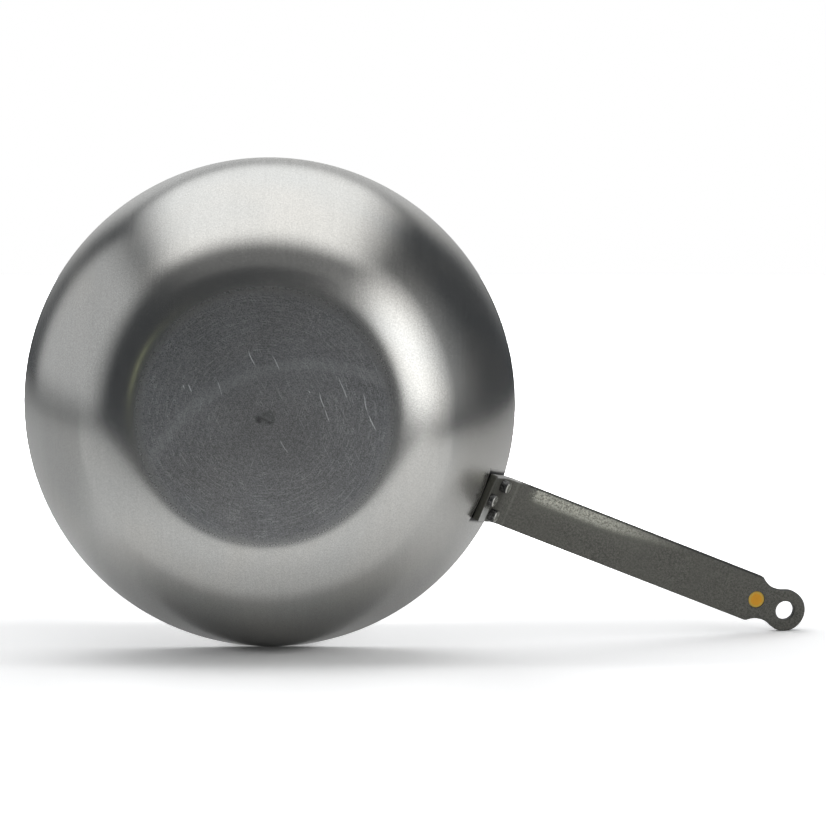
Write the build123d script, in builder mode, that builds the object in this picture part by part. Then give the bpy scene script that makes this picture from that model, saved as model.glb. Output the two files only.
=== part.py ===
from build123d import *
from math import asin, atan2, cos, hypot, radians, sin, sqrt, tan
import os

# Carbon steel wok with a riveted strip handle, in millimetres.
# The wok rests on its flat base: origin at the middle of the base's underside,
# +Z up through the open rim, and the handle points along +X.

# Bowl
rim_radius = 160.0          # outside, at the rim
bowl_height = 95.0          # from the base's underside to the rim
base_radius = 80.0          # flat part of the base
knuckle_radius = 52.0       # outside bend from the base into the wall
knuckle_turn = 50.5         # degrees that the knuckle turns before the flatter wall starts
sheet = 2.5                 # steel sheet
rim_round = 0.7             # dressed edges of the rim

# Strip handle
strip_width = 31.6
strip_thickness = 4.5
foot_drop = 18.5            # middle of the foot, below the rim
foot_flat = 25.5            # straight part of the foot that lies on the wall
bend_radius = 11.0          # on the underside, where the foot turns into the strip
handle_rise = 12.5          # degrees above level
strip_reach = 212.5         # from the bend's corner to the hole, along the underside
edge_round = 0.6            # rolled edges of the strip
foot_corner = 1.4

# Eye at the handle's end
eye_radius = 14.0
hole_radius = 6.4
neck_radius = 15.5          # each hollow side of the neck
neck_half_width = 11.3
shoulder_round = 3.5

# Disc let into the underside
disc_radius = 5.5
disc_back = 22.0            # behind the hole
disc_thickness = 1.4
disc_recess = 0.3           # its face lies this far inside the strip
disc_clearance = 0.15
disc_edge = 0.35

edge_match = 0.02           # for picking the strip's corner edges by their length

# Rivets
rivet_shank = 3.0           # radius
rivet_clearance = 0.05      # round the shank
rivet_tail = 4.1            # radius of the outer end
rivet_tail_round = 1.3
high_tail = 5.2             # how far the two high tails stand out of the foot
low_tail = 4.0
rivet_head = 7.0            # radius of the head inside the bowl
rivet_dome = 2.2            # how far the head stands into the bowl
rivet_skirt = 0.5           # plain edge of the head below its dome
rivet_bite = 0.6            # the head's blank starts this far inside the sheet
rivet_spread = 20.2         # between the two high rivets
high_row = 18.4             # above the foot's end
low_row = 5.6

# Wall profile: the knuckle is tangent to the base, and the wall to the knuckle
turn = radians(knuckle_turn)
knuckle_end_r = base_radius + knuckle_radius * sin(turn)
knuckle_end_z = knuckle_radius * (1 - cos(turn))
wall_run = rim_radius - knuckle_end_r
wall_climb = bowl_height - knuckle_end_z
wall_half_turn = atan2(wall_climb, wall_run) - turn
wall_radius = hypot(wall_run, wall_climb) / (2 * sin(wall_half_turn))
wall_centre_r = knuckle_end_r - wall_radius * sin(turn)
wall_centre_z = knuckle_end_z + wall_radius * cos(turn)

# Seat of the foot: a plane touching the wall at the foot's middle, sunk so that
# the foot's two long edges reach the round wall
foot_z = bowl_height - foot_drop
foot_lean = asin((wall_centre_z - foot_z) / wall_radius)
foot_r = wall_centre_r + wall_radius * cos(foot_lean)
seat_sink = (foot_r - sqrt(foot_r**2 - (strip_width / 2) ** 2)) * cos(foot_lean)
foot_face = strip_thickness - seat_sink
foot_end_r = foot_r + foot_face * cos(foot_lean) - foot_flat / 2 * sin(foot_lean)
foot_end_z = foot_z - foot_face * sin(foot_lean) - foot_flat / 2 * cos(foot_lean)
foot_plane = Plane(
    origin=(foot_end_r, 0, foot_end_z),
    x_dir=(0, 1, 0),
    z_dir=(cos(foot_lean), 0, -sin(foot_lean)),
)

# The strip turns from the foot's slope to its own rise in one round bend
rise = radians(handle_rise)
bend_turn = radians(90) - foot_lean - rise
bend_tangent = bend_radius * tan(bend_turn / 2)
corner_r = foot_end_r + (foot_flat + bend_tangent) * sin(foot_lean)
corner_z = foot_end_z + (foot_flat + bend_tangent) * cos(foot_lean)
strip_plane = Plane(
    origin=(corner_r, 0, corner_z),
    x_dir=(cos(rise), 0, sin(rise)),
    z_dir=(-sin(rise), 0, cos(rise)),
)
hole_r = corner_r + strip_reach * cos(rise)
hole_z = corner_z + strip_reach * sin(rise)

# Neck and disc along the strip, from the bend's corner: each hollow side of the
# neck is an arc tangent to the eye
neck_centre = neck_half_width + neck_radius
neck_back = sqrt((eye_radius + neck_radius) ** 2 - neck_centre**2)
neck_at = strip_reach - neck_back
eye_side = strip_reach - neck_back * eye_radius / (eye_radius + neck_radius)
disc_at = strip_reach - disc_back
disc_pocket = disc_thickness + disc_recess
outline_back = foot_flat + bend_radius

# Rivet places on the foot: across it, along it from its end, and the tail's length
rivets = {
    "rivet_high_left": (-rivet_spread / 2, high_row, high_tail),
    "rivet_high_right": (rivet_spread / 2, high_row, high_tail),
    "rivet_low": (0, low_row, low_tail),
}
rivet_spots = [(across, along) for across, along, tail in rivets.values()]
rivet_hole = rivet_shank + rivet_clearance
head_start = foot_face + sheet - rivet_bite
head_seat = foot_face + sheet + rivet_skirt

os.makedirs("parts", exist_ok=True)

# Bowl before drilling: a turned form, hollowed to the sheet's thickness
with BuildPart() as bowl_form:
    with BuildSketch(Plane.XZ):
        with BuildLine():
            Line((0, 0), (base_radius, 0))
            knuckle = TangentArc(
                (base_radius, 0), (knuckle_end_r, knuckle_end_z), tangent=(1, 0)
            )
            TangentArc(
                (knuckle_end_r, knuckle_end_z), (rim_radius, bowl_height), tangent=knuckle % 1
            )
            Polyline((rim_radius, bowl_height), (0, bowl_height), (0, 0))
        make_face()
    revolve(axis=Axis.Z)
    offset(amount=-sheet, openings=bowl_form.faces().sort_by(Axis.Z)[-1])
    fillet(bowl_form.edges().group_by(Axis.Z)[-1], radius=rim_round)

with BuildPart() as wok_body:
    add(bowl_form.part)
    with BuildSketch(foot_plane):
        with Locations(*rivet_spots):
            Circle(rivet_hole)
    extrude(amount=-2 * head_seat, mode=Mode.SUBTRACT)
wok_body.part.label = "wok_body"
export_step(wok_body.part, "parts/wok_body.step")

# Handle: one bent strip, trimmed to its outline seen square to the strip, with
# the back of the foot curved to the wall that it lies on
with BuildPart() as handle:
    with BuildSketch(Plane.XZ):
        with BuildLine():
            FilletPolyline(
                (foot_end_r, foot_end_z),
                (corner_r, corner_z),
                (hole_r + eye_radius, hole_z + eye_radius * tan(rise)),
                radius=bend_radius,
            )
            offset(amount=strip_thickness, side=Side.LEFT)
        make_face()
    extrude(amount=strip_width, both=True)
    with BuildSketch(strip_plane) as outline:
        with Locations((-outline_back, 0)):
            Rectangle(
                outline_back + eye_side, strip_width, align=(Align.MIN, Align.CENTER)
            )
        with Locations((strip_reach, 0)):
            Circle(eye_radius)
        with Locations((neck_at, neck_centre), (neck_at, -neck_centre)):
            Circle(neck_radius, mode=Mode.SUBTRACT)
        fillet(outline.vertices().group_by(Axis.X)[1], radius=shoulder_round)
        with Locations((strip_reach, 0)):
            Circle(hole_radius, mode=Mode.SUBTRACT)
    extrude(amount=outline_back, both=True, mode=Mode.INTERSECT)

    foot_end = handle.faces().sort_by(Axis.Z)[0]
    fillet(foot_end.edges().sort_by(SortBy.LENGTH)[:2], radius=foot_corner)
    bends = handle.edges().filter_by(Axis.Y).sort_by(Axis.Z)[2:]
    corners = handle.edges().filter_by(
        lambda edge: edge.geom_type == GeomType.LINE
        and abs(edge.length - strip_thickness) < edge_match
    )
    fillet(handle.edges() - bends - corners, radius=edge_round)

    with BuildSketch(strip_plane):
        with Locations((disc_at, 0)):
            Circle(disc_radius + disc_clearance)
    extrude(amount=disc_pocket, mode=Mode.SUBTRACT)
    add(bowl_form.part, mode=Mode.SUBTRACT)
    with BuildSketch(foot_plane):
        with Locations(*rivet_spots):
            Circle(rivet_hole)
    extrude(amount=-2 * strip_thickness, mode=Mode.SUBTRACT)
handle.part.label = "handle"
export_step(handle.part, "parts/handle.step")

# Rivets: a domed head shaped to the inside of the wall, a shank through the wall
# and the foot, and a round tail standing out of the foot
for name, (across, along, tail) in rivets.items():
    spot = Plane(
        origin=foot_plane.from_local_coords(Vector(across, along, 0)),
        x_dir=foot_plane.x_dir,
        z_dir=foot_plane.z_dir,
    )
    side_view = Plane(origin=spot.origin, x_dir=spot.x_dir, z_dir=spot.y_dir)
    with BuildPart() as rivet:
        with BuildSketch(side_view):
            with BuildLine():
                Polyline(
                    (0, head_seat + rivet_dome),
                    (0, head_start),
                    (rivet_head, head_start),
                    (rivet_head, head_seat),
                )
                TangentArc(
                    (0, head_seat + rivet_dome), (rivet_head, head_seat), tangent=(1, 0)
                )
            make_face()
        revolve(axis=Axis(spot.origin, spot.z_dir))
        add(bowl_form.part, mode=Mode.SUBTRACT)
        with BuildSketch(spot):
            Circle(rivet_shank)
        extrude(amount=-head_seat)
        with BuildSketch(spot):
            Circle(rivet_tail)
        extrude(amount=tail)
        outer_face = rivet.faces().sort_by(Axis(spot.origin, spot.z_dir))[-1]
        fillet(outer_face.edges(), radius=rivet_tail_round)
    rivet.part.label = name
    export_step(rivet.part, f"parts/{name}.step")

# Disc: seated on the floor of its pocket, its face just below the strip's
with BuildPart() as handle_disc:
    with BuildSketch(strip_plane.offset(disc_recess)):
        with Locations((disc_at, 0)):
            Circle(disc_radius)
    extrude(amount=disc_thickness)
    lower_face = handle_disc.faces().sort_by(Axis(strip_plane.origin, strip_plane.z_dir))[0]
    fillet(lower_face.edges(), radius=disc_edge)
handle_disc.part.label = "handle_disc"
export_step(handle_disc.part, "parts/handle_disc.step")
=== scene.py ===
import math
import bpy
from mathutils import Matrix, Vector


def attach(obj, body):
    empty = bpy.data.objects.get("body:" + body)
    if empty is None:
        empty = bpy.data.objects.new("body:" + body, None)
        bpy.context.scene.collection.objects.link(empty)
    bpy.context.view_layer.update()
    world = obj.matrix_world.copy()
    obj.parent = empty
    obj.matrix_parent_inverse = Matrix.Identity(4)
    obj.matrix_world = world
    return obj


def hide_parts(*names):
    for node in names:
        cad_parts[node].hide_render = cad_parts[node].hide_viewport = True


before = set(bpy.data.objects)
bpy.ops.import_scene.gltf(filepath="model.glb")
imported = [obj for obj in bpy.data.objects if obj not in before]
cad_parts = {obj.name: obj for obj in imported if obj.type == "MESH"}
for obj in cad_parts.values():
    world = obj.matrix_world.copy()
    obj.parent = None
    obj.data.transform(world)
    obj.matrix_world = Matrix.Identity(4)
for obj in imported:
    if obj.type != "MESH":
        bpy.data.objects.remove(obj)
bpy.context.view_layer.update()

# A flat-bottomed carbon steel wok, seen from below, standing on its rim and the tip of its handle.
# Metres; the bowl's axis is Z and the handle points along +X.

scene = bpy.context.scene
scene.view_settings.view_transform = "Standard"

# Camera, at the photograph's viewing angle
camera_place = Vector((-0.00197, -0.19935, -1.98063))
camera_right = Vector((0.922443, -0.386036, -0.00868)).normalized()
camera_up = Vector((-0.383694, -0.918905, 0.091611)).normalized()
camera_lens = 139.467
camera_sensor = 36.0

# Studio: the floor that the rim and the handle's tip stand on
floor_up = Vector((-0.38597, -0.92118, -0.04961)).normalized()
floor_height = -0.16425
floor_left = 2.5
floor_right = 0.90
floor_front = 0.80          # towards the camera
floor_back = 2.5
floor_metal = 1.22          # its colour for metal
floor_plain = 0.45
rest_line = 0.045           # where the rim stands, away from the bowl's middle
surroundings = (0.078, 0.082, 0.088, 1)     # beyond the lamps
bowl_middle = Vector((0.0, 0.0, 0.05))

# Bowl
base_radius = 0.080
knuckle_radius = 0.052
knuckle_turn = math.radians(50.5)
bowl_height = 0.095
rim_radius = 0.160
sheet = 0.0025
rim_round = 0.0007
base_steps = 26
knuckle_steps = 26
wall_steps = 34
round_steps = 4
bowl_segments = 320

# The wall's arc, tangent to the knuckle and ending at the rim
knuckle_end_r = base_radius + knuckle_radius * math.sin(knuckle_turn)
knuckle_end_z = knuckle_radius * (1 - math.cos(knuckle_turn))
wall_chord = math.hypot(rim_radius - knuckle_end_r, bowl_height - knuckle_end_z)
wall_chord_lean = math.atan2(bowl_height - knuckle_end_z, rim_radius - knuckle_end_r)
wall_radius = wall_chord / (2 * math.sin(wall_chord_lean - knuckle_turn))
wall_centre_r = knuckle_end_r - wall_radius * math.sin(knuckle_turn)
wall_centre_z = knuckle_end_z + wall_radius * math.cos(knuckle_turn)

# Foot of the handle, where the rivets stand
foot_lean = math.radians(21.16)
foot_end = Vector((0.15270, 0.0, 0.06326))
foot_across = Vector((0.0, 1.0, 0.0))
foot_along = Vector((math.sin(foot_lean), 0.0, math.cos(foot_lean)))
foot_out = Vector((math.cos(foot_lean), 0.0, -math.sin(foot_lean)))
foot_half_width = 0.0158
foot_turn = Matrix((foot_across, foot_along, foot_out)).transposed().to_euler("XYZ")
rivet_spots = {             # across the foot, up from its end, and how far the tail stands out
    "rivet_high_left": (-0.0101, 0.0184, 0.0052),
    "rivet_high_right": (0.0101, 0.0184, 0.0052),
    "rivet_low": (0.0, 0.0056, 0.0040),
}
rivet_hole = 0.00305
foot_face = 0.00372         # from the wall to the foot's outer face
rivet_tail = 0.0041
rivet_tail_round = 0.0012
rivet_dish = 0.0023         # radius of the shallow dish in the tail's end
rivet_dish_depth = 0.00015
rivet_shank = 0.0030
rivet_head = 0.0070
rivet_dome = 0.0022
rivet_skirt = 0.0005
rivet_segments = 64
dome_steps = 12
head_sink = 0.0002          # the head starts this far inside the sheet
head_edge_round = 0.0002
dish_slope = 0.0003         # the dish's edge slopes this far out from its radius
dish_floor = 0.0002         # and this far in
dish_round = 0.00025

# Drills that cut the rivet holes, and the meshes' fine limits
drill_sides = 48
drill_length = 0.03
merge_distance = 2e-6
crisp_bend = 0.7            # radians between faces, past which an edge stays sharp

# Steel: where the base's finish fades into the wall's, and the brightness and tint of both
base_fade = (0.0740, 0.0850)
brushed_fade = (0.0750, 0.0800)
base_bright = 0.260
wall_bright = 0.48
base_red = 0.982            # shares of the green
wall_red = 1.004
base_blue = 1.017
wall_blue = 0.962
never_zero = 1e-9           # keeps the middle of the base from dividing by nothing

# Steel: directions of its lines, as turned on the bowl, and its single marks
rolled_turn = math.radians(22.7)    # grain of the rolled sheet, which runs up the bowl in the photograph
wiped_turn = math.radians(48)
crossed_turn = math.radians(5)
wander = 0.004              # how far a scratch strays from straight
arc_centre = (0.0563, 0.0619)
arc_band = (0.1100, 0.1124)
arc_fade = 0.0045
flecked_place = (0.088, 0.036)
smudge_place = (0.0012, -0.0012)
pit_place = (-0.0028, 0.0034)
smear = ((-0.0066, 0.0022), (0.0070, 0.0016), 0.0015)
base_scratches = [          # start, end and half width
    ((-0.0550, 0.0005), (-0.0520, 0.0035), 0.00040),
    ((-0.0520, -0.0008), (-0.0470, 0.0040), 0.00042),
    ((-0.0260, -0.0358), (-0.0165, -0.0262), 0.00030),
    ((-0.0120, -0.0385), (-0.0020, -0.0295), 0.00020),
    ((0.0323, -0.0414), (0.0445, -0.0290), 0.00028),
    ((0.0502, -0.0372), (0.0590, -0.0262), 0.00036),
    ((0.0585, -0.0268), (0.0683, -0.0177), 0.00036),
    ((0.0248, -0.0275), (0.0330, -0.0190), 0.00030),
    ((0.0320, -0.0200), (0.0389, -0.0130), 0.00028),
    ((0.0190, -0.0258), (0.0206, -0.0246), 0.00050),
    ((0.0140, 0.0100), (0.0230, 0.0150), 0.00022),
    ((-0.0360, -0.0100), (-0.0290, -0.0020), 0.00022),
]

# Strip of the handle: the line of its underside
strip_corner = Vector((0.16403, 0.0, 0.09253))
strip_rise = math.radians(12.5)
strip_along = Vector((math.cos(strip_rise), 0.0, math.sin(strip_rise)))
strip_up = Vector((-math.sin(strip_rise), 0.0, math.cos(strip_rise)))
strip_across = Vector((0.0, 1.0, 0.0))
disc_middle = strip_corner + strip_along * 0.1905


def face_matrix(right, forward, up, place):
    """A matrix whose axes are right, forward and up, at a place."""
    turn = Matrix((right, forward, up)).transposed()
    return Matrix.Translation(place) @ turn.to_4x4()


def foot_point(across, along):
    """A point of the foot's outer face."""
    return foot_end + foot_across * across + foot_along * along


def add_camera():
    data = bpy.data.cameras.new("photo_camera")
    data.sensor_width = camera_sensor
    data.lens = camera_lens
    data.clip_end = 50.0
    camera = bpy.data.objects.new("photo_camera", data)
    scene.collection.objects.link(camera)
    back = camera_right.cross(camera_up)
    camera.matrix_world = face_matrix(camera_right, back.cross(camera_right), back, camera_place)
    scene.camera = camera


stage_right = (camera_right - floor_up * camera_right.dot(floor_up)).normalized()
stage_away = floor_up.cross(stage_right)
floor_middle = bowl_middle + floor_up * (floor_height - bowl_middle.dot(floor_up))


def stage_point(right, away, up):
    """A point of the studio, measured from the floor below the bowl."""
    return floor_middle + stage_right * right + stage_away * away + floor_up * up


class Wiring:
    """Makes nodes in one node tree and links them."""

    def __init__(self, tree):
        self.tree = tree

    def node(self, kind, inputs=None, **settings):
        made = self.tree.nodes.new(kind)
        for key, value in settings.items():
            setattr(made, key, value)
        for key, value in (inputs or {}).items():
            self.feed(made.inputs[key], value)
        return made

    def feed(self, socket, value):
        if isinstance(value, bpy.types.NodeSocket):
            self.tree.links.new(value, socket)
        else:
            socket.default_value = value

    def math(self, operation, first, second=0.0, third=0.0):
        made = self.node("ShaderNodeMath", {0: first, 1: second, 2: third}, operation=operation)
        return made.outputs[0]


class Finish(Wiring):
    """One procedural material."""

    def __init__(self, name):
        self.material = bpy.data.materials.new(name)
        self.material.use_nodes = True
        super().__init__(self.material.node_tree)
        self.tree.nodes.clear()
        self.output = self.node("ShaderNodeOutputMaterial")
        self.place = self.node("ShaderNodeTexCoord").outputs["Object"]

    def span(self, value, low, high, to_low=0.0, to_high=1.0):
        """A smooth step from to_low to to_high while the value goes from low to high."""
        made = self.node("ShaderNodeMapRange", interpolation_type="SMOOTHSTEP")
        for socket, number in zip(made.inputs[:5], (value, low, high, to_low, to_high)):
            self.feed(socket, number)
        return made.outputs[0]

    def fade(self, value, low, high):
        return self.span(value, low, high, 1.0, 0.0)

    def blend(self, share, first, second):
        """The first colour, with this share of the second over it."""
        made = self.node("ShaderNodeMix", data_type="RGBA")
        self.feed(made.inputs[0], share)
        self.feed(made.inputs[6], first)
        self.feed(made.inputs[7], second)
        return made.outputs[2]

    def noise(self, place, scale, detail, roughness, warp=0.0):
        return self.node("ShaderNodeTexNoise", {"Vector": place, "Scale": scale, "Detail": detail,
                                                "Roughness": roughness, "Distortion": warp}).outputs[0]

    def mapped(self, place, scale=(1, 1, 1), turn=(0, 0, 0), shift=(0, 0, 0)):
        return self.node("ShaderNodeMapping", {"Vector": place, "Scale": scale, "Rotation": turn,
                                               "Location": shift}).outputs[0]

    def lined(self, place, angle, across, along, shift=(0, 0, 0)):
        """A place turned about Z, then drawn out into lines along its Y."""
        return self.mapped(self.mapped(place, turn=(0, 0, angle)), scale=(across, along, along), shift=shift)

    def parts(self, place):
        return self.node("ShaderNodeSeparateXYZ", {"Vector": place}).outputs

    def joined(self, x, y, z):
        return self.node("ShaderNodeCombineXYZ", {0: x, 1: y, 2: z}).outputs[0]

    def both(self, first, second):
        return self.math("MULTIPLY", first, second)

    def total(self, *values):
        result = values[0]
        for value in values[1:]:
            result = self.math("ADD", result, value)
        return result

    def band(self, value, low, high, fade):
        """1 between low and high, falling to 0 over fade outside them."""
        return self.both(self.span(value, low - fade, low), self.fade(value, high, high + fade))

    def varied(self, value, amount, reach=0.2):
        """A noise turned into plus or minus an amount."""
        return self.span(value, 0.5 - reach, 0.5 + reach, -amount, amount)

    def rest_of(self, share):
        return self.math("SUBTRACT", 1.0, share)

    def length(self, first, second, least=0.0):
        """Length of the hypotenuse over two sides."""
        return self.math("POWER", self.total(self.both(first, first), self.both(second, second), least), 0.5)

    def from_point(self, place, x, y):
        """Distance from the upright line through a point of the XY plane."""
        near = self.parts(self.mapped(place, shift=(-x, -y, 0.0)))
        return self.length(near[0], near[1])

    def measured(self, right, forward, up, place):
        """The object's coordinates along three axes, measured from a place."""
        local = face_matrix(right, forward, up, place).inverted()
        return self.parts(self.mapped(self.place, turn=local.to_euler("XYZ"), shift=local.translation))

    def along(self, place, direction):
        """How far a place, or a normal, reaches along a direction."""
        made = self.node("ShaderNodeVectorMath", {0: place, 1: direction}, operation="DOT_PRODUCT")
        return made.outputs[1]

    def facing(self, direction):
        """1 where the surface faces a direction, -1 where it faces away."""
        return self.along(self.node("ShaderNodeTexCoord").outputs["Normal"], direction)

    def scratch(self, start, end, width, place):
        """A straight scratch between two points of the XY plane."""
        run = Vector(end) - Vector(start)
        angle = math.atan2(run.y, run.x)
        middle = (Vector(start) + Vector(end)) / 2
        turned = Matrix.Rotation(-angle, 2) @ middle
        line = self.parts(self.mapped(place, turn=(0, 0, -angle), shift=(-turned.x, -turned.y, 0)))
        beside = self.fade(self.math("ABSOLUTE", line[1]), 0.0, width)
        along = self.fade(self.math("ABSOLUTE", line[0]), run.length * 0.25, run.length * 0.5)
        return self.both(beside, along)

    def surface(self, colour, rough, height, strength, relief, metallic=0.0):
        """The finished surface, with a fine relief of this strength and depth."""
        bump = self.node("ShaderNodeBump", {"Strength": strength, "Distance": relief, "Height": height})
        shader = self.node("ShaderNodeBsdfPrincipled", {"Base Color": colour, "Metallic": metallic,
                                                        "Roughness": rough, "Normal": bump.outputs[0]})
        self.feed(self.output.inputs[0], shader.outputs[0])
        return self.material


def steel_hairs(f, radius, round_x, round_y):
    """Hairlines round the bowl from spinning it, and straighter ones from handling."""
    around, outward = 6.0, 1500.0
    turned = f.joined(f.both(round_x, around), f.both(round_y, around), f.both(radius, outward))
    ring_hairs = f.span(f.noise(turned, 1.0, 2.0, 0.6), 0.55, 0.66)
    ringed = f.band(radius, 0.050, 0.080, 0.035)
    wiped = f.lined(f.place, wiped_turn, 1400, 50)
    wiped_hairs = f.span(f.noise(wiped, 1.0, 2.0, 0.6), 0.58, 0.68)
    crossed = f.lined(f.place, crossed_turn, 1500, 70, shift=(3.1, 5.2, 0.7))
    crossed_hairs = f.span(f.noise(crossed, 1.0, 2.0, 0.6), 0.60, 0.70)
    patches = f.span(f.noise(f.place, 30.0, 2.0, 0.5), 0.40, 0.60)
    return f.total(f.both(ring_hairs, ringed), f.both(patches, f.total(wiped_hairs, crossed_hairs)))


def steel_wander(f):
    """Places on the steel, shifted a little at random so that a line on them isn't straight."""
    bent = f.node("ShaderNodeTexNoise", {"Vector": f.place, "Scale": 60.0, "Detail": 1.0}).outputs[1]
    centred = f.node("ShaderNodeVectorMath", {0: bent, 1: (0.5, 0.5, 0.5)}, operation="SUBTRACT").outputs[0]
    return f.node("ShaderNodeVectorMath", {0: centred, 1: (wander, wander, 0.0), 2: f.place},
                  operation="MULTIPLY_ADD").outputs[0]


def steel_flecks(f):
    """Small dark specks low on the wall."""
    cells = f.node("ShaderNodeTexVoronoi", {"Vector": f.place, "Scale": 210.0, "Randomness": 1.0})
    picked = f.span(f.parts(cells.outputs["Color"])[0], 0.86, 0.90)
    fleck = f.fade(cells.outputs["Distance"], 0.08, 0.16)
    nearby = f.fade(f.from_point(f.place, *flecked_place), 0.012, 0.026)
    return f.both(f.both(picked, fleck), nearby)


def steel_finish():
    """Bare carbon steel: spun wall, brushed base with scratches, rolled grain."""
    f = Finish("bare_steel")
    x, y = f.parts(f.place)[:2]
    radius = f.length(x, y, least=never_zero)
    round_x = f.math("DIVIDE", x, radius)
    round_y = f.math("DIVIDE", y, radius)
    on_base = f.fade(radius, *base_fade)
    on_wall = f.rest_of(on_base)
    brushed = f.fade(radius, *brushed_fade)

    # Grain from fine to broad, the hairlines, and the grain of the rolled sheet
    grain = f.noise(f.place, 1150.0, 2.0, 0.7)
    coarse = f.noise(f.place, 420.0, 3.0, 0.6)
    cloud = f.noise(f.place, 18.0, 4.0, 0.55, 0.6)
    stain = f.noise(f.mapped(f.place, shift=(0.31, 0.12, 0.4)), 7.0, 3.0, 0.5, 0.8)
    base_hairs = f.both(brushed, steel_hairs(f, radius, round_x, round_y))
    rolled_grain = f.noise(f.lined(f.place, rolled_turn, 900, 22), 1.0, 3.0, 0.6)
    smears = f.noise(f.lined(f.place, rolled_turn, 150, 9), 1.0, 2.0, 0.5)

    # Single scratches on the base, and the pale arc where it was wiped
    loose = steel_wander(f)
    scored = f.both(on_base, f.total(*[f.scratch(*scratch, loose) for scratch in base_scratches]))
    arc = f.both(f.both(brushed, f.band(f.from_point(f.place, *arc_centre), *arc_band, arc_fade)), 0.5)

    # Dark mark in the middle, made by the tool that centres the blank
    mark_noise = f.span(f.noise(f.place, 260.0, 2.0, 0.6), 0.40, 0.58)
    darkened = f.fade(f.from_point(loose, *smudge_place), 0.0020, 0.0085)
    smudge = f.both(f.both(darkened, mark_noise), on_base)
    pit = f.fade(f.from_point(loose, *pit_place), 0.0010, 0.0028)
    centre_mark = f.both(f.math("MAXIMUM", f.both(f.scratch(*smear, loose), 0.8), pit), on_base)

    # Painted shade where the foot of the handle meets the wall's outside: a dark line and a soft darkening,
    # standing in for its contact shadow and the foot's reflection, and duller steel there
    foot_x, foot_y = f.measured(foot_across, foot_along, foot_out, foot_end)[:2]
    aside = f.math("SUBTRACT", f.math("ABSOLUTE", foot_x), foot_half_width)
    below = f.math("SUBTRACT", 0.0, foot_y)
    clear = f.math("MAXIMUM", f.math("MAXIMUM", aside, below), 0.0)
    outer_face = f.span(f.facing(foot_out), 0.2, 0.5)
    near_rim = f.both(outer_face, f.span(radius, 0.125, 0.135))
    painted_foot_shade = f.both(f.fade(clear, 0.0004, 0.0036), near_rim)
    painted_contact_line = f.both(f.fade(clear, 0.0009, 0.0024), near_rim)
    hazed = f.both(f.fade(clear, 0.010, 0.065), f.both(outer_face, f.span(radius, 0.100, 0.130)))

    # Colour: the steel's tone, less what darkens it
    base_tone = f.total(base_bright, f.varied(grain, 0.075), f.varied(coarse, 0.030),
                        f.both(base_hairs, 0.11), f.both(arc, 0.10), f.varied(cloud, 0.02))
    wall_tone = f.total(wall_bright, f.varied(grain, 0.055), f.varied(rolled_grain, 0.009),
                        f.varied(smears, 0.006), f.varied(stain, 0.012, 0.15))
    tone = f.total(f.both(base_tone, on_base), f.both(wall_tone, on_wall))
    # The last two losses paint shade by the foot of the handle: its contact shadow and reflection
    losses = ((smudge, 0.30), (centre_mark, 0.44), (steel_flecks(f), 0.75), (painted_foot_shade, 0.35), (painted_contact_line, 0.95))
    for share, loss in losses:
        tone = f.both(tone, f.rest_of(f.both(share, loss)))
    green = f.total(tone, f.both(scored, 0.42))
    warm = f.span(stain, 0.35, 0.65, -0.010, 0.012)
    red = f.both(green, f.total(wall_red, warm, f.both(on_base, base_red - wall_red)))
    cool = f.total(wall_blue, f.both(on_base, base_blue - wall_blue))
    blue = f.both(green, f.math("SUBTRACT", cool, warm))
    colour = f.node("ShaderNodeCombineColor", {0: red, 1: green, 2: blue}).outputs[0]

    # Roughness and relief
    base_rough = f.total(0.37, f.varied(grain, 0.05), f.both(base_hairs, -0.06))
    wall_rough = f.total(0.215, f.varied(rolled_grain, 0.007), f.varied(stain, 0.02, 0.15))
    rough = f.total(f.both(base_rough, on_base), f.both(wall_rough, on_wall),
                    f.both(painted_foot_shade, 0.2), f.both(hazed, 0.03))
    height = f.total(f.both(grain, f.total(f.both(on_base, 0.8), 0.15)), f.both(base_hairs, -0.4),
                     f.both(rolled_grain, 0.018), f.both(scored, -1.2), f.both(smudge, -0.5))
    return f.surface(colour, rough, height, 0.25, 0.00014, metallic=1.0)


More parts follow.
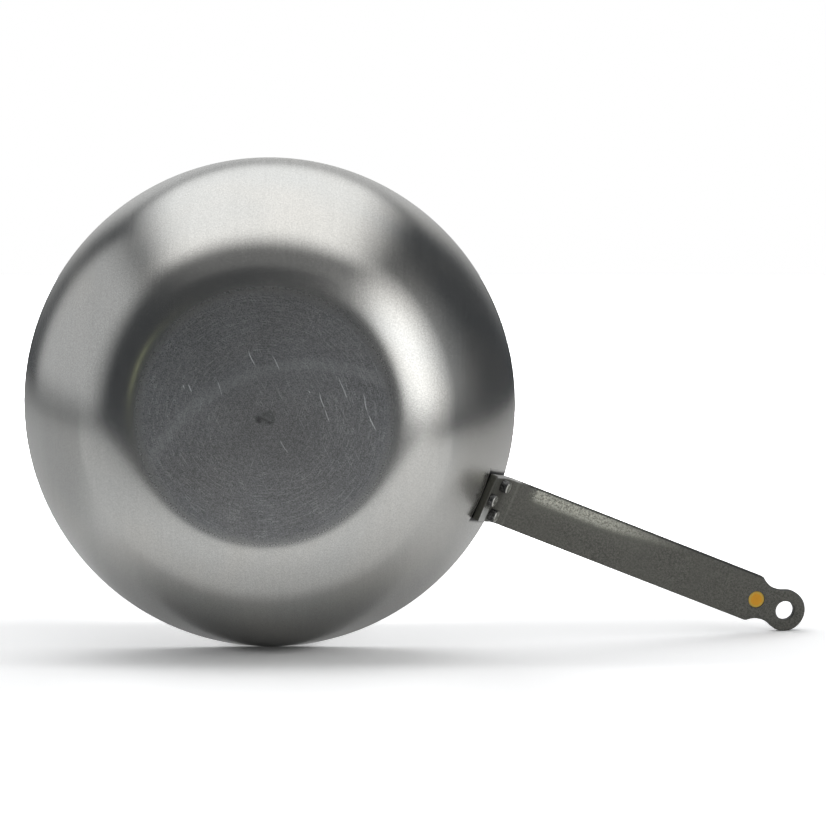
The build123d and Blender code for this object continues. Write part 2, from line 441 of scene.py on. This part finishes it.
def coat_finish():
    """Dark speckled coat of the strip handle, with a painted reflection: paler along one edge near the bend.
    """
    f = Finish("handle_coat")
    speck = f.noise(f.place, 1500.0, 2.0, 0.7)
    grain = f.noise(f.place, 760.0, 3.0, 0.7)
    cloud = f.noise(f.place, 25.0, 3.0, 0.5)
    fine = f.total(f.both(speck, 0.4), f.both(grain, 0.6))
    along, across, above = f.measured(strip_along, strip_across, strip_up, strip_corner)
    under = f.fade(above, 0.0010, 0.0022)
    ragged = f.total(f.varied(speck, 0.0018, 0.25), f.varied(grain, 0.0012, 0.25))

    # Painted reflection of a lamp near the bend, along the strip's edge, and the paler painted fringe round
    # it
    inner_edge = f.span(along, 0.060, 0.130, -0.0068, -0.0115)
    past_edge = f.math("SUBTRACT", f.total(across, ragged), inner_edge)
    reflection_side = f.fade(past_edge, -0.0014, 0.0016)
    reflection_start = f.span(f.total(along, ragged), 0.016, 0.023)
    reflection_end = f.fade(f.total(along, f.both(ragged, 6.0)), 0.065, 0.140)
    painted_reflection = f.both(f.both(f.both(reflection_side, reflection_start), reflection_end), under)
    painted_reflection_fringe = f.both(f.both(f.fade(across, -0.010, 0.006), f.band(along, 0.03, 0.09, 0.03)), under)

    # Painted reflection of the floor: a pale patch on the foot's outer face, beside the rivets
    beside, up_foot, proud = f.measured(foot_across, foot_along, foot_out, foot_end)
    floor_reflection_side = f.span(f.total(beside, ragged), 0.0045, 0.0085)
    floor_reflection_height = f.band(up_foot, 0.0008, 0.0115, 0.0012)
    painted_floor_reflection = f.both(f.both(floor_reflection_side, floor_reflection_height), f.span(proud, -0.0006, -0.0002))

    # Painted shade on the strip's cut edges, a painted highlight along the edge on the foot, its sheared
    # end, and a painted highlight along the bend
    turned_up = f.fade(f.math("ABSOLUTE", f.facing(strip_up)), 0.60, 0.97)
    rolled_edge = f.fade(across, -0.0152, -0.0143)
    painted_edge_shade = f.both(f.math("MAXIMUM", turned_up, rolled_edge), f.span(along, 0.010, 0.016))
    on_foot = f.both(f.fade(along, 0.004, 0.010), f.span(up_foot, 0.001, 0.004))
    painted_edge_highlight = f.both(rolled_edge, on_foot)
    sheared = f.fade(f.facing(foot_along), -0.8, -0.5)
    sheared_end = f.both(sheared, f.fade(along, 0.0, 0.004))
    painted_bend_highlight = f.both(f.band(along, 0.0060, 0.0066, 0.0008), under)

    # Colour, from the plain coat to what lies over it
    plain = f.blend(f.span(fine, 0.36, 0.64), (0.054, 0.054, 0.047, 1), (0.150, 0.148, 0.129, 1))
    clouded = f.blend(f.span(cloud, 0.35, 0.65, 0.0, 0.45), plain, (0.105, 0.104, 0.090, 1))
    # Painted reflection near the bend: the paler fringe, then the pale patch over the coat
    reflection_fringed = f.blend(f.both(painted_reflection_fringe, 0.28), clouded, (0.20, 0.20, 0.175, 1))
    pale = f.blend(f.span(fine, 0.38, 0.62), (0.18, 0.18, 0.152, 1), (0.62, 0.62, 0.54, 1))
    reflected_coat = f.blend(painted_reflection, reflection_fringed, pale)
    # Painted highlight along the bend
    bend_highlighted = f.blend(f.both(painted_bend_highlight, 0.22), reflected_coat, (0.25, 0.25, 0.22, 1))
    # Painted reflection of the floor on the foot, and a painted highlight along its edge
    floor_reflected = f.blend(f.both(f.math("MAXIMUM", painted_floor_reflection, painted_edge_highlight), 0.9), bend_highlighted, (0.62, 0.62, 0.60, 1))
    ended = f.blend(f.both(sheared_end, 0.75), floor_reflected, (0.048, 0.048, 0.036, 1))
    # Painted shade on the cut edges
    colour = f.blend(f.both(painted_edge_shade, 0.85), ended, (0.010, 0.010, 0.010, 1))
    rough = f.total(0.46, f.varied(speck, 0.06), f.both(painted_reflection, 0.05))
    height = f.total(speck, f.both(grain, 1.2))
    return f.surface(colour, rough, height, 0.40, 0.00020, metallic=0.35)


def rivet_finish():
    """Worn steel of the rivets: bright mottled ends, partly a painted highlight, and sides darker with
    painted shade.
    """
    f = Finish("rivet_steel")
    mottle = f.noise(f.place, 620.0, 3.0, 0.65)
    scale = f.noise(f.place, 1600.0, 2.0, 0.6)
    mottled = f.span(mottle, 0.38, 0.62)
    # Ends: worn steel with a painted highlight; sides: darker, painted shade
    worn_and_highlit_end = f.blend(mottled, (0.22, 0.22, 0.20, 1), (0.66, 0.66, 0.61, 1))
    side = f.blend(mottled, (0.048, 0.048, 0.048, 1), (0.150, 0.150, 0.146, 1))
    colour = f.blend(f.span(f.math("ABSOLUTE", f.facing(foot_out)), 0.25, 0.80), side, worn_and_highlit_end)
    rough = f.span(scale, 0.3, 0.7, 0.28, 0.44)
    return f.surface(colour, rough, mottle, 0.30, 0.00018, metallic=0.9)


def disc_finish():
    """Yellow plastic of the disc, paler round its edge."""
    f = Finish("disc_plastic")
    mottle = f.noise(f.place, 350.0, 3.0, 0.55)
    fine = f.noise(f.place, 1500.0, 2.0, 0.6)
    apart = f.node("ShaderNodeVectorMath", {0: f.place, 1: disc_middle}, operation="DISTANCE").outputs[1]
    body = f.blend(mottle, (0.80, 0.34, 0.006, 1), (0.92, 0.44, 0.012, 1))
    edge = f.span(f.total(apart, f.varied(mottle, 0.0004)), 0.0034, 0.0048)
    colour = f.blend(edge, body, (0.74, 0.48, 0.070, 1))
    rough = f.span(fine, 0.3, 0.7, 0.38, 0.52)
    return f.surface(colour, rough, fine, 0.12, 0.0001)


def floor_finish():
    """White floor, see-through from its back, whiter for the camera and for metal, with painted shadow and
    shade round where the rim stands.
    """
    f = Finish("studio_floor")
    rays = f.node("ShaderNodeLightPath")
    centred = f.node("ShaderNodeVectorMath", {0: f.place, 1: floor_middle}, operation="SUBTRACT").outputs[0]
    beside = f.along(centred, stage_right)
    behind = f.math("SUBTRACT", f.along(centred, stage_away), rest_line)

    def from_rest(squeeze, depth=behind):
        """Distance from where the rim stands, with the floor's width squeezed."""
        return f.length(f.math("MULTIPLY", beside, squeeze), depth)

    # For the camera: painted shadow, darkest where the rim stands, white further out
    in_front = f.span(f.math("ABSOLUTE", behind), 0.052, 0.085, 0.0, 0.45)
    to_sides = f.span(f.math("ABSOLUTE", beside), 0.070, 0.170, 1.0, 0.35)
    painted_rest_shadow = f.span(from_rest(1.0), 0.014, 0.040, 0.62, 1.30)
    lit_behind = f.span(behind, 0.012, 0.036, 0.0, 1.3)
    further = f.span(from_rest(0.5), 0.150, 0.500, 0.0, 1.60)
    far = f.span(from_rest(0.6), 0.4, 1.5, 0.0, 4.0)
    shown = f.total(f.math("MAXIMUM", painted_rest_shadow, lit_behind), f.both(in_front, to_sides), further, far)

    # For metal: painted shade, darker behind the rim, towards the left and where the rim stands
    sides = f.both(f.span(beside, -0.38, -0.06, 0.80, 1.0), f.span(behind, -0.05, 0.06, 1.0, 0.72))
    drawn_back = f.math("MAXIMUM", f.both(behind, 0.5), f.both(behind, -1.0))
    painted_rest_shade = f.span(from_rest(0.45, drawn_back), 0.03, 0.110, 0.45, 1.0)
    seen = f.both(f.both(sides, painted_rest_shade), floor_metal)

    plain = f.blend(rays.outputs["Is Glossy Ray"], (floor_plain,) * 3 + (1,), f.joined(seen, seen, seen))
    colour = f.blend(rays.outputs["Is Camera Ray"], plain, f.joined(shown, shown, shown))
    white = f.node("ShaderNodeBsdfDiffuse", {"Color": colour})
    clear = f.node("ShaderNodeBsdfTransparent")
    back = f.node("ShaderNodeNewGeometry").outputs["Backfacing"]
    one_sided = f.node("ShaderNodeMixShader", {0: back, 1: white.outputs[0], 2: clear.outputs[0]})
    f.feed(f.output.inputs[0], one_sided.outputs[0])
    return f.material


def add_floor():
    edges = ((-floor_left, -floor_front), (floor_right, -floor_front), (floor_right, floor_back),
             (-floor_left, floor_back))
    corners = [stage_point(side, away, 0.0) for side, away in edges]
    mesh = bpy.data.meshes.new("studio_floor")
    mesh.from_pydata(corners, [], [(0, 1, 2, 3)])
    mesh.materials.append(floor_finish())
    floor = bpy.data.objects.new("studio_floor", mesh)
    scene.collection.objects.link(floor)


def add_lamp(name, place, target, size, radiance, fades, level=None, colour=(1, 1, 1)):
    """A rectangular soft light, unseen by the camera, that fades towards its edges.

    The fades are shares of its width and height: start and end across, then start and end along.
    """
    data = bpy.data.lights.new(name, "AREA")
    data.shape = "RECTANGLE"
    data.size, data.size_y = size
    data.energy = radiance * math.pi * size[0] * size[1]
    data.color = colour
    data.use_nodes = True
    w = Wiring(data.node_tree)
    w.tree.nodes.clear()
    on_lamp = w.node("ShaderNodeNewGeometry").outputs["Parametric"]
    across, along = w.node("ShaderNodeSeparateXYZ", {0: on_lamp}).outputs[:2]
    strength = 1.0
    for value, fade, from_end in ((across, fades[0], False), (across, fades[1], True),
                                  (along, fades[2], False), (along, fades[3], True)):
        distance = w.math("SUBTRACT", 1.0, value) if from_end else value
        ramp = w.node("ShaderNodeMapRange", {0: distance, 1: 0.0, 2: fade}, interpolation_type="SMOOTHSTEP")
        strength = w.math("MULTIPLY", strength, ramp.outputs[0])
    glow = w.node("ShaderNodeEmission", {"Strength": strength})
    w.feed(w.node("ShaderNodeOutputLight").inputs[0], glow.outputs[0])
    lamp = bpy.data.objects.new(name, data)
    scene.collection.objects.link(lamp)
    back = (place - target).normalized()
    side = level or stage_right
    side = (side - back * side.dot(back)).normalized()
    lamp.matrix_world = face_matrix(side, back.cross(side), back, place)
    lamp.visible_camera = False


def add_world():
    """Dim grey surroundings, white for the camera."""
    world = bpy.data.worlds.new("studio")
    scene.world = world
    world.use_nodes = True
    w = Wiring(world.node_tree)
    w.tree.nodes.clear()
    rays = w.node("ShaderNodeLightPath")
    mix = w.node("ShaderNodeMix", data_type="RGBA")
    w.feed(mix.inputs[0], rays.outputs["Is Camera Ray"])
    w.feed(mix.inputs[6], surroundings)
    w.feed(mix.inputs[7], (1, 1, 1, 1))
    background = w.node("ShaderNodeBackground", {0: mix.outputs[2]})
    w.feed(w.node("ShaderNodeOutputWorld").inputs[0], background.outputs[0])


def add_lights():
    # Overhead scrim: soft on both sides and in front, sharper at its far edge
    add_lamp("overhead", stage_point(-0.07, 0.25, 1.26), stage_point(-0.07, 0.25, 0.0),
             size=(2.14, 2.26), radiance=1.50, fades=(0.28, 0.27, 0.39, 0.10))
    add_lamp("overhead_front", stage_point(0.0, -1.35, 1.27), stage_point(0.0, -1.35, 0.0),
             size=(2.2, 1.4), radiance=0.16, fades=(0.30, 0.30, 0.40, 0.20))

    # Screens on both sides, the right one brighter and reaching far in front
    add_lamp("left_screen", stage_point(-1.1, -0.01, 0.73), stage_point(0.0, -0.01, 0.73),
             size=(2.28, 1.50), radiance=0.65, fades=(0.12, 0.45, 0.17, 0.40), level=-stage_away)
    add_lamp("right_screen", stage_point(0.80, -2.10, 0.71), stage_point(0.0, -2.10, 0.71),
             size=(5.0, 1.48), radiance=2.2, fades=(0.80, 0.25, 0.18, 0.60), level=stage_away)

    # Backdrop behind the bowl, and the small lamp that glints at the left of its base
    add_lamp("backdrop", stage_point(0.05, 2.55, 1.0), stage_point(0.05, 0.0, 1.0),
             size=(4.45, 2.0), radiance=0.80, fades=(0.225, 0.27, 0.02, 0.50))
    add_lamp("left_glint", stage_point(-0.42, -1.45, 0.25), stage_point(0, 0, 0.16),
             size=(0.055, 0.20), radiance=2.6, fades=(0.4, 0.4, 0.4, 0.4), colour=(0.76, 0.80, 0.42))


class Form(Wiring):
    """One Geometry Nodes tree with named inputs for its sizes."""

    def __init__(self, name):
        super().__init__(bpy.data.node_groups.new(name, "GeometryNodeTree"))
        self.tree.interface.new_socket(name="Geometry", in_out="INPUT", socket_type="NodeSocketGeometry")
        self.tree.interface.new_socket(name="Geometry", in_out="OUTPUT", socket_type="NodeSocketGeometry")
        self.start = self.node("NodeGroupInput")
        self.end = self.node("NodeGroupOutput")
        self.keys = {}

    def size(self, name, kind="Float"):
        made = self.tree.interface.new_socket(name=name, in_out="INPUT", socket_type="NodeSocket" + kind)
        self.keys[name] = made.identifier
        return self.start.outputs[name]

    def pick(self, choice, otherwise, chosen):
        made = self.node("GeometryNodeSwitch", {0: choice, 1: otherwise, 2: chosen}, input_type="FLOAT")
        return made.outputs[0]

    def turned(self, profile, segments):
        """The profile curve in the XZ plane, turned once round the Z axis."""
        points = self.node("GeometryNodeAttributeDomainSize", {0: profile}, component="CURVE").outputs[0]
        rows = self.math("SUBTRACT", points, 1.0)
        grid = self.node("GeometryNodeMeshGrid", {2: points, 3: self.math("ADD", segments, 1.0)})
        along, around = self.node("ShaderNodeSeparateXYZ", {0: grid.outputs["UV Map"]}).outputs[:2]
        row = self.math("ROUND", self.math("MULTIPLY", along, rows))
        place = self.node("GeometryNodeInputPosition").outputs[0]
        spot = self.node("GeometryNodeSampleIndex", data_type="FLOAT_VECTOR", domain="POINT")
        self.feed(spot.inputs[0], profile)
        self.feed(spot.inputs[1], place)
        self.feed(spot.inputs[2], row)
        angle = self.math("MULTIPLY", around, math.tau)
        swung = self.node("ShaderNodeVectorRotate", {0: spot.outputs[0], 3: angle}, rotation_type="Z_AXIS")
        shell = self.node("GeometryNodeSetPosition", {0: grid.outputs[0], 2: swung.outputs[0]}).outputs[0]
        return self.node("GeometryNodeMergeByDistance", {0: shell, 2: merge_distance}).outputs[0]

    def close(self, geometry, finish):
        """Shades the geometry, sharp only at its corners, and ends the tree with its material."""
        smooth = self.node("GeometryNodeSetShadeSmooth", {0: geometry}).outputs[0]
        bend = self.node("GeometryNodeInputMeshEdgeAngle").outputs[0]
        sharp = self.math("GREATER_THAN", bend, crisp_bend)
        crisp = self.node("GeometryNodeSetShadeSmooth", {0: smooth, 1: sharp, 2: False}, domain="EDGE")
        real = self.node("GeometryNodeRealizeInstances", {0: crisp.outputs[0]}).outputs[0]
        painted = self.node("GeometryNodeSetMaterial", {0: real, 2: finish}).outputs[0]
        self.feed(self.end.inputs[0], painted)

    def made(self, name, sizes, outline=()):
        """A plain mesh piece made by this tree with these sizes.

        An outline, where there is one, lists its corners in the XZ plane and how each is rounded.
        """
        base = bpy.data.meshes.new(name + "_start")
        base.from_pydata([(out, 0.0, up) for out, up, rounding in outline],
                         [(i, i + 1) for i in range(len(outline) - 1)], [])
        if outline:
            rounds = base.attributes.new("rounding", "FLOAT", "POINT")
            rounds.data.foreach_set("value", [rounding for out, up, rounding in outline])
        start = bpy.data.objects.new(name + "_start", base)
        scene.collection.objects.link(start)
        modifier = start.modifiers.new(name, "NODES")
        modifier.node_group = self.tree
        for key, value in sizes.items():
            modifier[self.keys[key]] = value
        depsgraph = bpy.context.evaluated_depsgraph_get()
        mesh = bpy.data.meshes.new_from_object(start.evaluated_get(depsgraph), depsgraph=depsgraph)
        mesh.name = name
        bpy.data.objects.remove(start)
        piece = bpy.data.objects.new(name, mesh)
        scene.collection.objects.link(piece)
        return piece


def bowl_form(finish):
    """The drilled bowl: base, knuckle and wall outside, then the same inside, one sheet deeper."""
    f = Form("bowl")
    base, knuckle, bend = f.size("Base radius"), f.size("Knuckle radius"), f.size("Knuckle turn")
    wall, centre_r, centre_z = f.size("Wall radius"), f.size("Wall centre out"), f.size("Wall centre up")
    height, thickness, edge = f.size("Height"), f.size("Sheet"), f.size("Rim round")
    drill, segments = f.size("Rivet hole"), f.size("Segments", "Int")

    # Steps from the middle of the base out to the rim, then back again one sheet deeper
    side_points = base_steps + knuckle_steps + wall_steps + 1
    line = f.node("GeometryNodeMeshLine", {"Count": 2 * side_points}).outputs[0]
    index = f.node("GeometryNodeInputIndex").outputs[0]
    inside = f.math("GREATER_THAN", index, side_points - 0.5)
    step = f.pick(inside, index, f.math("SUBTRACT", 2 * side_points - 1, index))
    depth = f.math("MULTIPLY", inside, thickness)
    inner_knuckle = f.math("SUBTRACT", knuckle, depth)
    inner_wall = f.math("SUBTRACT", wall, depth)

    # Flat base and knuckle
    flat = f.math("MINIMUM", f.math("DIVIDE", step, base_steps), 1.0)
    past_base = f.math("DIVIDE", f.math("SUBTRACT", step, base_steps), knuckle_steps)
    turn = f.math("MULTIPLY", f.math("MINIMUM", f.math("MAXIMUM", past_base, 0.0), 1.0), bend)
    low_r = f.math("MULTIPLY_ADD", f.math("SINE", turn), inner_knuckle, f.math("MULTIPLY", flat, base))
    low_z = f.math("SUBTRACT", knuckle, f.math("MULTIPLY", f.math("COSINE", turn), inner_knuckle))

    # Wall, ending at the rim's height
    past_knuckle = f.math("DIVIDE", f.math("SUBTRACT", step, base_steps + knuckle_steps), wall_steps)
    last_turn = f.math("ARCCOSINE", f.math("DIVIDE", f.math("SUBTRACT", centre_z, height), inner_wall))
    wall_turn = f.math("MULTIPLY_ADD", f.math("SUBTRACT", last_turn, bend), past_knuckle, bend)
    high_r = f.math("MULTIPLY_ADD", f.math("SINE", wall_turn), inner_wall, centre_r)
    high_z = f.math("SUBTRACT", centre_z, f.math("MULTIPLY", f.math("COSINE", wall_turn), inner_wall))

    # The profile, its rim rounded on both corners, turned into the bowl
    on_wall = f.math("GREATER_THAN", past_knuckle, 0.0)
    out, up = f.pick(on_wall, low_r, high_r), f.pick(on_wall, low_z, high_z)
    spot = f.node("ShaderNodeCombineXYZ", {0: out, 2: up})
    shaped = f.node("GeometryNodeSetPosition", {0: line, 2: spot.outputs[0]}).outputs[0]
    curve = f.node("GeometryNodeMeshToCurve", {0: shaped}).outputs[0]
    from_last_outer = f.math("GREATER_THAN", index, side_points - 1.5)
    to_first_inner = f.math("LESS_THAN", index, side_points + 0.5)
    corner = f.math("MULTIPLY", f.math("MULTIPLY", from_last_outer, to_first_inner), edge)
    rounded = f.node("GeometryNodeFilletCurve", {1: round_steps, 2: corner, 3: True}, mode="POLY")
    f.feed(rounded.inputs[0], curve)
    shell = f.turned(rounded.outputs[0], segments)

    # Rivet holes
    drills = f.node("GeometryNodeJoinGeometry")
    pin = f.node("GeometryNodeMeshCylinder",
                 {"Vertices": drill_sides, "Radius": drill, "Depth": drill_length}).outputs[0]
    for across, along, tail in rivet_spots.values():
        centre = foot_point(across, along) - foot_out * foot_face
        drilled = f.node("GeometryNodeTransform", {0: pin, 1: centre, 2: foot_turn}).outputs[0]
        f.feed(drills.inputs[0], drilled)
    cut = f.node("GeometryNodeMeshBoolean", operation="DIFFERENCE", solver="EXACT")
    f.feed(cut.inputs[0], shell)
    f.feed(cut.inputs[1], drills.outputs[0])
    f.close(cut.outputs[0], finish)
    return f


def rivet_form(finish):
    """A rivet's outline, rounded, turned round its axis and set in its place."""
    f = Form("rivet")
    place, turn, segments = f.size("Place", "Vector"), f.size("Turn", "Vector"), f.size("Segments", "Int")
    curve = f.node("GeometryNodeMeshToCurve", {0: f.start.outputs["Geometry"]}).outputs[0]
    corner = f.node("GeometryNodeInputNamedAttribute", {0: "rounding"}, data_type="FLOAT").outputs[0]
    rounded = f.node("GeometryNodeFilletCurve", {1: round_steps, 2: corner, 3: True}, mode="POLY")
    f.feed(rounded.inputs[0], curve)
    solid = f.turned(rounded.outputs[0], segments)
    # The outline runs from the head to the tail, which turns the faces inward
    outward = f.node("GeometryNodeFlipFaces", {0: solid}).outputs[0]
    f.close(f.node("GeometryNodeTransform", {0: outward, 1: place, 2: turn}).outputs[0], finish)
    return f


def rivet_outline(tail):
    """Radius, height and rounding of each corner, from the middle of the head to the middle of the tail."""
    head = -(foot_face + sheet)
    dome_top = head - rivet_skirt - rivet_dome
    dome_radius = (rivet_head ** 2 + rivet_dome ** 2) / (2 * rivet_dome)
    dome_turn = math.asin(rivet_head / dome_radius)
    dome = []
    for step in range(dome_steps):
        turn = dome_turn * step / dome_steps
        dome.append((dome_radius * math.sin(turn), dome_top + dome_radius * (1 - math.cos(turn)), 0.0))
    return dome + [
        (rivet_head, head - rivet_skirt, head_edge_round),
        (rivet_head, head + head_sink, 0.0),
        (rivet_shank, head + head_sink, 0.0),
        (rivet_shank, 0.0, 0.0),
        (rivet_tail, 0.0, 0.0),
        (rivet_tail, tail, rivet_tail_round),
        (rivet_dish + dish_slope, tail, dish_round),
        (rivet_dish - dish_floor, tail - rivet_dish_depth, dish_round),
        (0.0, tail - rivet_dish_depth, 0.0),
    ]


add_camera()
add_floor()
add_world()
add_lights()

bowl = bowl_form(steel_finish()).made("bowl", {
    "Base radius": base_radius, "Knuckle radius": knuckle_radius, "Knuckle turn": knuckle_turn,
    "Wall radius": wall_radius, "Wall centre out": wall_centre_r, "Wall centre up": wall_centre_z,
    "Height": bowl_height, "Sheet": sheet, "Rim round": rim_round, "Rivet hole": rivet_hole,
    "Segments": bowl_segments})
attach(bowl, "root")
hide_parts("wok_body")

rivet = rivet_form(rivet_finish())
for name, (across, along, tail) in rivet_spots.items():
    sizes = {"Place": foot_point(across, along), "Turn": tuple(foot_turn), "Segments": rivet_segments}
    piece = rivet.made(name.replace("rivet_", "") + "_rivet", sizes, rivet_outline(tail))
    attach(piece, "root")
    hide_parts(name)

finishes = {"handle": coat_finish(), "handle_disc": disc_finish()}
for name, finish in finishes.items():
    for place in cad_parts[name].material_slots:
        place.material = finish
